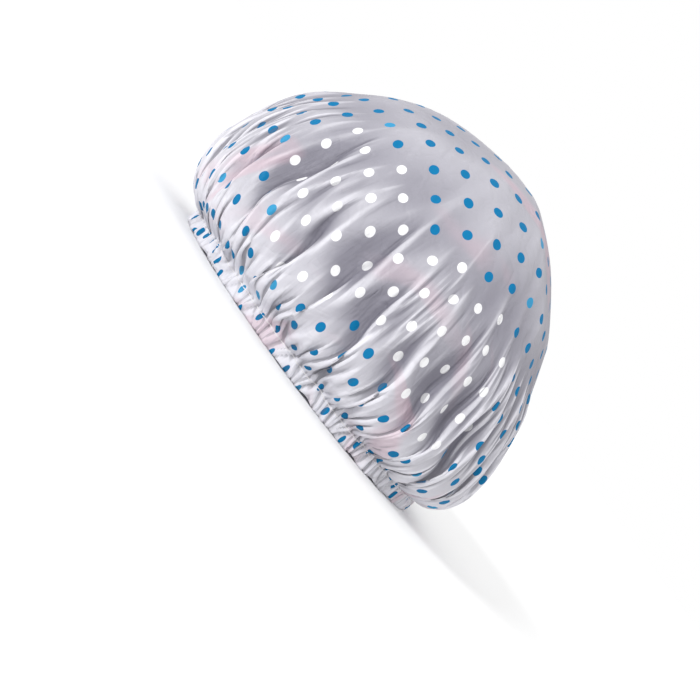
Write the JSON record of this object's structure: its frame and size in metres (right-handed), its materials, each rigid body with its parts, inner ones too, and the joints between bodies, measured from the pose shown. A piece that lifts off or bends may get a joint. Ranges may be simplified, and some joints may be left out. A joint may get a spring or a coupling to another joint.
{
  "type": "shower cap",
  "caption": "Gathered waterproof shower cap of thin frosted film with a dotted print, drawn in at a sewn hem by an elastic band so that it closes round the hair.",
  "frame": {"origin": "under the middle of the cap's bounding box, on the surface that the hem rests on", "axes": "+Z from the hem to the crown, -X towards the front, which lies over the forehead, and +Y towards the wearer's right"},
  "size_m": [0.2484, 0.2054, 0.164],
  "materials": {
    "film": "frosted soft vinyl-like film, satin, printed with blue and white dots",
    "elastic": "woven white elastic, matt",
    "thread": "white spun polyester thread"
  },
  "bodies": {
    "root": {"cap_film": "film", "elastic_band": "elastic", "elastic_tack": "thread", "seam_needle_thread": "thread", "seam_bobbin_thread": "thread"}
  },
  "joints": []
}
